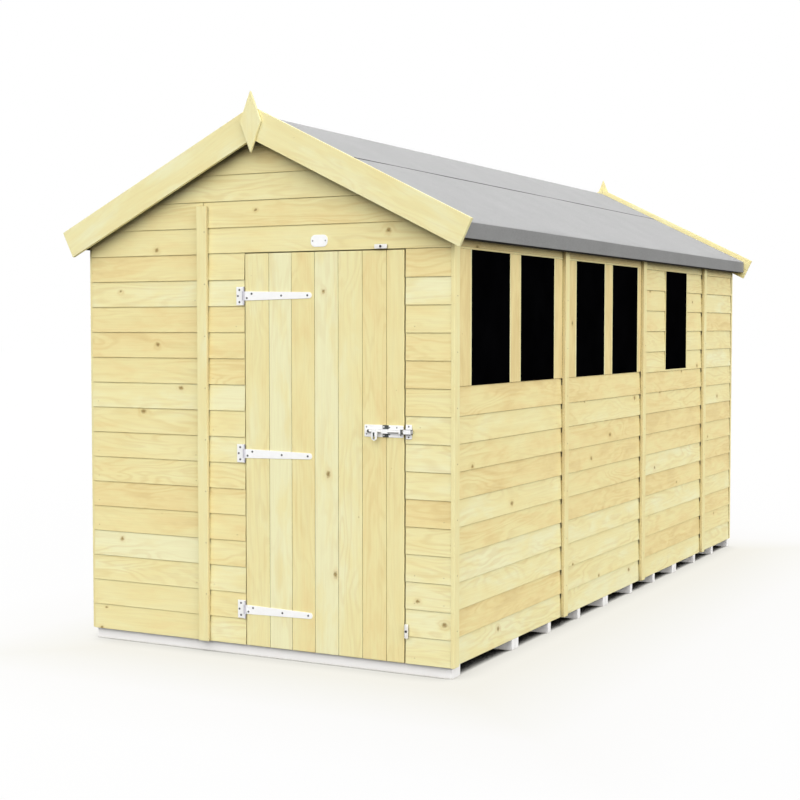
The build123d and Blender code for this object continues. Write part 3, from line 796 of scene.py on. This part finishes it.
# Felt: a sheet down each slope with a rounded fold at the eaves, and one over the ridge. The fold's faces
# take the darker copy of the felt: painted shade.
SHEET_STEPS = 64
SLOPE_STEPS, BEND_STEPS, FOLD_STEPS, RIDGE_STEPS = 12, 6, 4, 8
FOLD_FROM = 16
NO_FOLD = 99
SWAY = 0.0012
SWAY_OUT, SWAY_UP = 0.44, 0.9
SHEET_START = 0.0006
EAVES_BEND = 0.008
EAVES_BEND_INNER = 0.0055
RIDGE_BEND = 0.006
RIDGE_BEND_INNER = 0.0035
SOFT_ANGLE = 40
tilt = math.atan(RISE)
felts = [felt_top, felt_fold, felt_core_and_shade]
TOP_FACE, FOLD_FACE, CORE_FACE = range(3)


def roof_z(x, drop):
    return RIDGE - drop * SLOPE - RISE * abs(x)


def wander(i, seed):
    """A slow, even wave between nought and one."""
    return 0.5 + 0.5 * math.sin(i * 0.37 + seed) * math.cos(i * 0.113 + 2.1 * seed)


def sheet_mesh(piece, outer, inner, y0, y1, fold_from, sway):
    """A sheet with an outer and an inner face along Y; the edges show the dark core."""
    count = len(outer)
    start = len(piece.verts)
    for i in range(SHEET_STEPS + 1):
        y = y0 + (y1 - y0) * i / SHEET_STEPS
        for line in (outer, inner):
            for k, (x, z) in enumerate(line):
                lift = sway * wander(i, k * 0.21) if k > 1 else 0.0
                up = lift * SWAY_UP if k < fold_from else 0.0
                piece.verts.append(Vector((x + math.copysign(lift * SWAY_OUT, x), y, z + up)))
                piece.grain.append((y, x, z))
                piece.tone.append(MID_TONE)

    def at(i, side, k):
        return start + (i * 2 + side) * count + k

    def face(a, b, c, d, kind):
        piece.faces.append([a, b, c, d])
        piece.kinds.append(kind)

    for i in range(SHEET_STEPS):
        for k in range(count - 1):
            kind = FOLD_FACE if k >= fold_from else TOP_FACE
            face(at(i, 0, k), at(i + 1, 0, k), at(i + 1, 0, k + 1), at(i, 0, k + 1), kind)
            face(at(i, 1, k), at(i, 1, k + 1), at(i + 1, 1, k + 1), at(i + 1, 1, k), CORE_FACE)
        for k in (0, count - 1):
            face(at(i, 0, k), at(i, 1, k), at(i + 1, 1, k), at(i + 1, 0, k), CORE_FACE)
    for i in (0, SHEET_STEPS):
        for k in range(count - 1):
            face(at(i, 0, k), at(i, 0, k + 1), at(i, 1, k + 1), at(i, 1, k), CORE_FACE)


def face_outward(obj):
    bm = bmesh.new()
    bm.from_mesh(obj.data)
    bmesh.ops.recalc_face_normals(bm, faces=bm.faces[:])
    bm.to_mesh(obj.data)
    bm.free()


eaves_low, eaves_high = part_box("roof_felt")
eaves_x, eaves_foot = eaves_high.x, eaves_low.z


def slope_profile(drop, inset, bend):
    """Ridge to eaves, round the fold and down to its foot."""
    edge = eaves_x - inset
    corner = roof_z(edge, drop)
    reach = bend * math.tan((math.pi / 2 - tilt) / 2)
    line = []
    for t in range(SLOPE_STEPS + 1):
        x = SHEET_START + (edge - reach * math.cos(tilt)) * t / SLOPE_STEPS
        line.append((x, roof_z(x, drop)))
    centre = (edge - bend, corner - reach)
    for n in range(1, BEND_STEPS + 1):
        a = (math.pi / 2 - tilt) * (1 - n / BEND_STEPS)
        line.append((centre[0] + bend * math.cos(a), centre[1] + bend * math.sin(a)))
    for n in range(1, FOLD_STEPS + 1):
        line.append((edge, corner - reach + (eaves_foot - corner + reach) * n / FOLD_STEPS))
    return line


piece = Piece("roof_felt_sheets")
outer = slope_profile(FELT, 0.0, EAVES_BEND)
inner = slope_profile(2 * FELT, FELT, EAVES_BEND_INNER)
for side in (1, -1):
    faces = [[(side * x, z) for x, z in line] for line in (outer, inner)]
    sheet_mesh(piece, *faces, eaves_low.y, eaves_high.y, FOLD_FROM, SWAY)
face_outward(piece.make(felts, "shed", ("roof_felt",), SOFT_ANGLE))

# The felt is turned in under the eaves boards, almost to the wall. Its near-black core colour there is also
# painted shade for the dark gap under the eaves.
RETURN = 0.0022
RETURN_EDGE = 0.0005
RETURN_SHORT = 0.001
turn_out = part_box("eaves_boards")[1].x
turn_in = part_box("cover_strips")[1].x + 0.003
piece = Piece("eaves_felt_and_shade_returns")
for side in (1, -1):
    outline = rect(side * turn_in, side * turn_out, eaves_foot, eaves_foot - RETURN)
    near, far_end = [[(x, y, z) for x, z in outline] for y in (FRONT + RETURN_SHORT, BACK - RETURN_SHORT)]
    piece.add(solid(near, far_end, RETURN_EDGE, 1), ALONG, MID_TONE)
piece.make([felt_core_and_shade], "shed", ())
ridge_low, ridge_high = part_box("ridge_felt")


def ridge_profile(drop, bend):
    """Up one slope, round the ridge and down the other."""
    reach = bend * math.sin(tilt)
    line = []
    for t in range(RIDGE_STEPS + 1):
        x = ridge_low.x + (-reach - ridge_low.x) * t / RIDGE_STEPS
        line.append((x, roof_z(x, drop)))
    centre = roof_z(reach, drop) - bend * math.cos(tilt)
    for n in range(1, BEND_STEPS):
        a = math.pi / 2 + tilt - 2 * tilt * n / BEND_STEPS
        line.append((bend * math.cos(a), centre + bend * math.sin(a)))
    for t in range(RIDGE_STEPS + 1):
        x = reach + (ridge_high.x - reach) * t / RIDGE_STEPS
        line.append((x, roof_z(x, drop)))
    return line


piece = Piece("ridge_felt_sheet")
faces = [ridge_profile(0.0, RIDGE_BEND), ridge_profile(FELT, RIDGE_BEND_INNER)]
sheet_mesh(piece, *faces, ridge_low.y, ridge_high.y, NO_FOLD, 0.0)
face_outward(piece.make(felts, "shed", ("ridge_felt",), SOFT_ANGLE))

# Ironmongery, with painted shade in grey and dark copies of the metal on the sides of the knuckles, guides,
# staple, keeper and bolt away from the light; the darkest parts are partly dark metal too.
metals = [white_metal, grey_shade_metal, dark_metal, shade_metal]
WHITE, GREY, DARK, SHADED = range(4)
SHEET_METAL = 0.0025
RAISED = 0.0004
KNUCKLE_RAISED = 0.001
PIN_INSET = 0.0055
KNUCKLE = 0.006
sheet_face = FRONT - SHEET_METAL
pin_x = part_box("hinge_straps")[0].x + PIN_INSET
bolt_low, bolt_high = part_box("bolt_plate")
bolt_z = (bolt_low.z + bolt_high.z) / 2

# Places on the bolt, from the plate's left end and its middle line.
BAR_END = bolt_low.x + 0.0275
NECK = (bolt_low.x + 0.051, bolt_low.x + 0.0595, bolt_z - 0.0335, bolt_z - 0.0045)
PLATE_BARE = bolt_low.x + 0.030
STAPLE_END = bolt_low.x + 0.160
STAPLE_FOOT = 0.0095
GUIDE_EDGE = bolt_low.x + 0.174
LOOP_EDGE = 0.0085


def knuckle_paint(c, n):
    """A knuckle is a little greyer than the flat metal, on the side away from the light."""
    if c.y > sheet_face - KNUCKLE_RAISED:
        return WHITE
    return GREY if n.x > 0.8 else (SHADED if n.x > 0.2 else WHITE)


def strap_paint(c, n):
    """Painted shade: the strap's own knuckle is grey all round."""
    return SHADED if c.x < pin_x + KNUCKLE else WHITE


def plate_paint(c, n):
    """The staple's feet and the end of the guide stand out dark on the plate, partly dark metal and partly
    painted shade; faces turned up or down take a painted grey shade.
    """
    if c.y > sheet_face - RAISED or c.x < PLATE_BARE:
        return WHITE
    if c.x > GUIDE_EDGE or (c.x < STAPLE_END and abs(c.z - bolt_z) > STAPLE_FOOT):
        return DARK
    return GREY if abs(n.z) > 0.5 else WHITE


def keeper_paint(c, n):
    """Painted shade: the loop's rims and its end are darker than its face."""
    if c.y > sheet_face - RAISED:
        return WHITE
    if n.x > 0.5:
        return DARK
    return GREY if abs(c.z - bolt_z) > LOOP_EDGE or abs(n.z) > 0.5 else WHITE


def bar_paint(c, n):
    """The bar's end and the neck of its handle are dark, partly dark metal and partly painted shade, and
    its sides turned up or down take a painted grey shade.
    """
    if c.x < BAR_END or (NECK[0] < c.x < NECK[1] and NECK[2] < c.z < NECK[3]):
        return DARK
    return GREY if abs(n.z) > 0.75 else WHITE


bar_cuts = [((x, 0, 0), ACROSS) for x in (BAR_END, NECK[0], NECK[1])]
bar_cuts += [((0, 0, z), UP) for z in (NECK[2], NECK[3])]
loop_cuts = [((0, 0, bolt_z + LOOP_EDGE), UP), ((0, 0, bolt_z - LOOP_EDGE), UP)]
guide_cuts = [((GUIDE_EDGE, 0, 0), ACROSS)]


def fitting(name, body, paint, cuts=()):
    dress(name, metals, body, 0.0004, 1, smooth=30, paint=paint, cuts=cuts)


fitting("hinge_plates", "shed", knuckle_paint)
fitting("bolt_keeper", "shed", keeper_paint, loop_cuts)
dress("button_screws", [screw_metal], "shed", 0.0003, 1, smooth=30)
fitting("hinge_straps", "door", strap_paint)
fitting("bolt_plate", "door", plate_paint, guide_cuts)
fitting("bolt_bar", "bolt", bar_paint, bar_cuts)
dress("top_turn_button", [button_wood], "top_button", 0.0008, 2, smooth=30)
dress("lower_turn_button", [button_wood], "lower_button", 0.0008, 2, smooth=30)

# Heads of screws, studs and nails: the rings of a dome with a dimple, as shares of its size.
HEAD_RINGS = ((1.0, 0.0), (0.94, 0.18), (0.7, 0.32), (0.42, 0.36), (0.34, 0.16))
HEAD_SIDES = 12


def stud_head(piece, place, out, size):
    """A domed head with a dimple, standing out from a face."""
    bm = bmesh.new()
    out = Vector(out)
    across = out.cross(Vector(UP))
    rings = []
    for r, h in HEAD_RINGS:
        ring = []
        for n in range(HEAD_SIDES):
            a = 2 * math.pi * n / HEAD_SIDES
            turn = across * math.cos(a) + Vector(UP) * math.sin(a)
            ring.append(bm.verts.new(Vector(place) + turn * (r * size) + out * (h * size)))
        rings.append(ring)
    for a, b in zip(rings, rings[1:]):
        for n in range(HEAD_SIDES):
            m = (n + 1) % HEAD_SIDES
            bm.faces.new((a[n], a[m], b[m], b[n]))
    bm.faces.new(rings[-1])
    bm.faces.new(list(reversed(rings[0])))
    bmesh.ops.recalc_face_normals(bm, faces=bm.faces[:])
    piece.add(bm, ACROSS, MID_TONE)


def screw(piece, x, y, z, size):
    stud_head(piece, (x, y, z), FORWARD, size)


# Screw sizes, and their places on each hinge, on the keeper and on the bolt's plate.
HINGE_SCREW, KEEPER_SCREW, BOLT_SCREW, STAPLE_STUD = 0.0045, 0.0034, 0.003, 0.0032
PLATE_HOLES = ((0.0158, 0.026), (0.0084, 0.0), (0.0158, -0.026))
STRAP_HOLES = ((-0.040, 0.009), (-0.064, -0.009), (0.108, 0.0), (0.236, 0.0))
KEEPER_HOLE = 0.008
BOLT_HOLES = ((0.010, 0.0155), (0.010, -0.0135), (0.116, 0.0155))
BOLT_HOLES += ((0.150, 0.0155), (0.117, -0.0135), (0.168, -0.0145))
STAPLE_HOLE = (0.0915, 0.0175)
STAPLE_SPAN = (0.085, 0.115)
STAPLE_RIM = 0.0125
plate_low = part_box("hinge_plates")[0]
wall_screws = Piece("wall_hardware_screws")
door_screws = Piece("door_hardware_screws")
for part in parts_of("hinge_straps"):
    z = sum(span(part, 2)) / 2
    for dx, dz in PLATE_HOLES:
        screw(wall_screws, plate_low.x + dx, sheet_face, z + dz, HINGE_SCREW)
    for x, dz in STRAP_HOLES:
        screw(door_screws, x, sheet_face, z + dz, HINGE_SCREW)
low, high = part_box("bolt_keeper")
for z in (low.z + KEEPER_HOLE, high.z - KEEPER_HOLE):
    screw(wall_screws, (low.x + high.x) / 2, sheet_face, z, KEEPER_SCREW)
for dx, dz in BOLT_HOLES:
    screw(door_screws, bolt_low.x + dx, sheet_face, bolt_z + dz, BOLT_SCREW)


def on_staple_foot(v):
    return abs(v.z - bolt_z) > STAPLE_RIM and STAPLE_SPAN[0] < v.x - bolt_low.x < STAPLE_SPAN[1]


foot_y = min(v.y for part in parts_of("bolt_plate") for v in part if on_staple_foot(v))
staple_studs = Piece("staple_studs")
for side in (-1, 1):
    screw(staple_studs, bolt_low.x + STAPLE_HOLE[0], foot_y, bolt_z + side * STAPLE_HOLE[1], STAPLE_STUD)
staple_studs.make([white_metal], "door", (), SOFT_ANGLE)

# Bare plate over the door, on the slope of the board behind it.
BARE_X, BARE_Z = 0.2925, 1.775
BARE_HALF_W, BARE_HALF_H, BARE_CORNER = 0.0405, 0.025, 0.021
BARE_THICK = 0.0022
BARE_EDGE = 0.0005
BARE_HOLE = 0.0305
BARE_SCREW = 0.003
outline = []
for cx, cz, turn in ((1, -1, -90), (1, 1, 0), (-1, 1, 90), (-1, -1, 180)):
    for n in range(7):
        a = math.radians(turn + 15 * n)
        x = BARE_X + cx * (BARE_HALF_W - BARE_CORNER) + BARE_CORNER * math.cos(a)
        z = BARE_Z + cz * (BARE_HALF_H - BARE_CORNER) + BARE_CORNER * math.sin(a)
        outline.append((x, z))


def on_board(v):
    return FRONT + (v - DOOR_HEAD) / PITCH * BOARD


plate = Piece("bare_plate")
face = [(u, on_board(v) - BARE_THICK, v) for u, v in outline]
plate.add(solid(face, [(u, on_board(v), v) for u, v in outline], BARE_EDGE, 2), ACROSS, MID_TONE)
plate.make([white_metal], "shed", ())
for x in (BARE_X - BARE_HOLE, BARE_X + BARE_HOLE):
    screw(wall_screws, x, on_board(BARE_Z) - BARE_THICK, BARE_Z, BARE_SCREW)
wall_screws.make([screw_metal], "shed", (), SOFT_ANGLE)

# Nails in the boards over the studs, and in the cover strips.
RAISE = 0.026
NAIL, STRIP_NAIL = 0.0017, 0.0022
NAIL_CHANCE = 0.3
NAILED_COURSES = 15
nails = Piece("board_nails")
sink = RAISE / PITCH * BOARD
side_sink = RAISE / PITCH * SIDE_STEP
side_joints = [(a[1] + b[0]) / 2 for a, b in zip(left_spans, left_spans[1:])]
front_studs = [LEFT + 0.03, joint - 0.045, joint + 0.047]
front_studs += [doorway_left - 0.042, doorway_right + 0.042, RIGHT - 0.03]
side_studs = [FRONT + 0.075, BACK - 0.03] + [j + d for j in side_joints for d in (-0.046, 0.046)]
for course in range(NAILED_COURSES):
    z = BASE + course * PITCH + RAISE
    for x in front_studs:
        if rng.random() < NAIL_CHANCE:
            stud_head(nails, (x, FRONT + sink, z), FORWARD, NAIL)
    for y in side_studs:
        if rng.random() < NAIL_CHANCE and (z < sill - 0.01 or y > side_joints[1]):
            stud_head(nails, (RIGHT - side_sink, y, z), ACROSS, NAIL)
        stud_head(nails, (LEFT + sink, y, z), LEFTWARD, NAIL)
strip_low, strip_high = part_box("cover_strips")
for n in range(8):
    z = BASE + (1.85 + 2 * n) * PITCH
    stud_head(nails, (joint + 0.017, strip_low.y, z), FORWARD, STRIP_NAIL)
    for y in [FRONT + 0.025] + side_joints:
        stud_head(nails, (strip_high.x, y + 0.004, z - 0.06), ACROSS, STRIP_NAIL)
        stud_head(nails, (strip_low.x, y + 0.014, z - 0.06), LEFTWARD, STRIP_NAIL)
nails.make([nail_metal], "shed", (), SOFT_ANGLE)
door_screws.make([screw_metal], "door", (), SOFT_ANGLE)

# Wedges close the gap between each joint strip and the sloping boards, up to a little below every lap.
# Their darker brown wood is painted shade for that gap.
WEDGE_SHARE = 0.78
WEDGE_WIDTH = 0.004
INSET = 0.0005
wedges = Piece("strip_shade_wedges")
for part in parts_of("cover_strips"):
    x0, x1 = span(part, 0)
    y0, y1 = span(part, 1)
    if abs(x0 + x1) / 2 < RIGHT - CORNER:
        wall, u0, u1 = on_front if y0 < 0 else on_back, x0, x1
    elif abs(y0 + y1) / 2 < BACK - CORNER:
        wall, u0, u1 = on_right if x0 > 0 else on_left, y0, y1
    else:
        continue
    for course in range(int((span(part, 2)[1] - BASE) / PITCH)):
        foot = BASE + course * PITCH
        top = foot + WEDGE_SHARE * PITCH
        profile = [(foot, 0.0), (top, 0.0), (top, lap_step(wall))]
        for start in (u0 + INSET, u1 - INSET - WEDGE_WIDTH):
            near, far_end = [[wall(u, v, d) for v, d in profile] for u in (start, start + WEDGE_WIDTH)]
            wedges.add(solid(near, far_end), UP, MID_TONE)
wedges.make([wedge_shade_wood], "shed", ())

# Linings close the edges of the wall beside the doorway, behind the boards.
LINING = 0.010
PROUD = 0.0003
linings = Piece("doorway_linings")
lining_spans = [(doorway_left - LINING, doorway_left + PROUD)]
lining_spans += [(doorway_right - PROUD, doorway_right + LINING)]
for x0, x1 in lining_spans:
    outline = rect(x0, x1, BASE, DOOR_HEAD)
    near = [on_front(u, v, BOARD + PROUD) for u, v in outline]
    linings.add(solid(near, [on_front(u, v, SKIN) for u, v in outline], INSET, 1), UP, MID_TONE)
linings.make([lining_wood], "shed", ())


# Floor, light and camera.
def seen_directly(tree):
    """One for rays from the eye, through glass or off a gloss, and nought for stray light."""
    path = node(tree, "ShaderNodeLightPath").outputs
    seen = calc(tree, "MAXIMUM", path["Is Camera Ray"], path["Is Transmission Ray"])
    return calc(tree, "MAXIMUM", seen, path["Is Glossy Ray"])


FLOOR_HALF = 60.0
FLOOR_GLOW = 0.94
FLOOR_STRAY = grey(0.10)
FLOOR_TINTS = [(0.3, (0.735, 0.73, 0.72, 1)), (0.7, (0.75, 0.745, 0.74, 1))]
# Painted shade: the floor darkens where the shed hems it in, down to black under its floor.
CONTACT_REACH = 0.22
CONTACT = [(0.24, grey(0.002)), (0.40, grey(0.80)), (0.75, grey(1.0))]
WARM_REACH = 1.1
WARM_SHIFT = 0.15
WARM = [(0.0, (0.92, 0.90, 0.83, 1)), (0.2, (0.945, 0.935, 0.89, 1))]
WARM += [(0.5, (0.985, 0.98, 0.97, 1)), (1.0, grey(1.0))]
floor_mesh = bpy.data.meshes.new("studio_floor")
corners = [(x, y, 0) for x, y in rect(-FLOOR_HALF, FLOOR_HALF, -FLOOR_HALF, FLOOR_HALF)]
floor_mesh.from_pydata(corners, [], [(0, 1, 2, 3)])
floor = bpy.data.objects.new("studio_floor", floor_mesh)
scene.collection.objects.link(floor)
mat, tree, shader = fresh("studio_floor_white")
place = local_place(tree)
seen = seen_directly(tree)
tint = ramp(tree, noise(tree, place, 0.6, 3.0), FLOOR_TINTS)
free = node(tree, "ShaderNodeAmbientOcclusion", {"Distance": CONTACT_REACH}, samples=12).outputs["AO"]
contact_shade = ramp(tree, free, CONTACT)
tint = mix(tree, 1.0, tint, contact_shade, "MULTIPLY")
tree.links.new(mix(tree, seen, FLOOR_STRAY, tint), shader.inputs["Base Color"])
shader.inputs["Roughness"].default_value = 0.9
shader.inputs["Specular IOR Level"].default_value = 0.1

# Painted bounce light and shadow: near the walls the floor takes a little of their warm colour and grows a
# little darker, round a patch shifted right and forward.
spot = list(node(tree, "ShaderNodeSeparateXYZ", {0: place}).outputs)
aside = calc(tree, "ABSOLUTE", calc(tree, "SUBTRACT", spot[0], WARM_SHIFT))
ahead = calc(tree, "ABSOLUTE", calc(tree, "ADD", spot[1], WARM_SHIFT))
aside = calc(tree, "SUBTRACT", aside, RIGHT)
ahead = calc(tree, "SUBTRACT", ahead, BACK)
off = calc(tree, "MAXIMUM", calc(tree, "MAXIMUM", aside, ahead), 0.0)
bounce_and_shade = ramp(tree, spread(tree, off, 0.0, WARM_REACH, 0.0, 1.0), WARM)
glow_colour = mix(tree, 1.0, contact_shade, bounce_and_shade, "MULTIPLY")
glow = node(tree, "ShaderNodeEmission", {"Color": glow_colour, "Strength": 1.0}).outputs[0]
share = calc(tree, "MULTIPLY", seen, FLOOR_GLOW)
even = node(tree, "ShaderNodeMixShader", {0: share, 1: shader.outputs[0], 2: glow})
surface = [n for n in tree.nodes if n.type == "OUTPUT_MATERIAL"][0]
tree.links.new(even.outputs[0], surface.inputs[0])
floor_mesh.materials.append(mat)

WORLD_LIGHT = 0.33
world = bpy.data.worlds.new("studio")
scene.world = world
world.use_nodes = True
tree = world.node_tree
tree.nodes.clear()
strength = spread(tree, seen_directly(tree), 0.0, 1.0, WORLD_LIGHT, 1.0)
backdrop = node(tree, "ShaderNodeBackground", {"Color": grey(1), "Strength": strength})
node(tree, "ShaderNodeOutputWorld", {0: backdrop.outputs[0]})


def sun(name, direction, strength, angle):
    lamp = bpy.data.lights.new(name, "SUN")
    lamp.energy = strength
    lamp.angle = math.radians(angle)
    obj = bpy.data.objects.new(name, lamp)
    obj.rotation_euler = Vector(direction).to_track_quat("-Z", "Y").to_euler()
    scene.collection.objects.link(obj)


sun("front_left", (0.30, 0.85, -0.65), 0.84, 60)
sun("front_right", (-0.35, 0.85, -0.60), 1.57, 60)
sun("right", (-0.85, 0.15, -0.26), 1.71, 40)
sun("top", (0.0, 0.1, -1.0), 0.40, 60)
sun("back_left", (0.60, -0.70, -0.40), 2.2, 60)

# The camera stands where the photograph was taken; its focal length is in pixels of the picture.
SENSOR = 36.0
FOCAL_PIXELS = 1494.835
PICTURE_PIXELS = 800
CAMERA_PLACE = (3.46547, FRONT - 5.3605, 1.41627)
CAMERA_PITCH, CAMERA_YAW = 2.7821, 27.5356
camera = bpy.data.cameras.new("photo_camera")
camera.sensor_width = SENSOR
camera.sensor_fit = "HORIZONTAL"
camera.lens = SENSOR * FOCAL_PIXELS / PICTURE_PIXELS
camera.clip_end = 300
camera_obj = bpy.data.objects.new("photo_camera", camera)
camera_obj.location = CAMERA_PLACE
camera_obj.rotation_euler = (math.radians(90 - CAMERA_PITCH), 0, math.radians(CAMERA_YAW))
scene.collection.objects.link(camera_obj)
scene.camera = camera_obj
scene.view_settings.view_transform = "Standard"
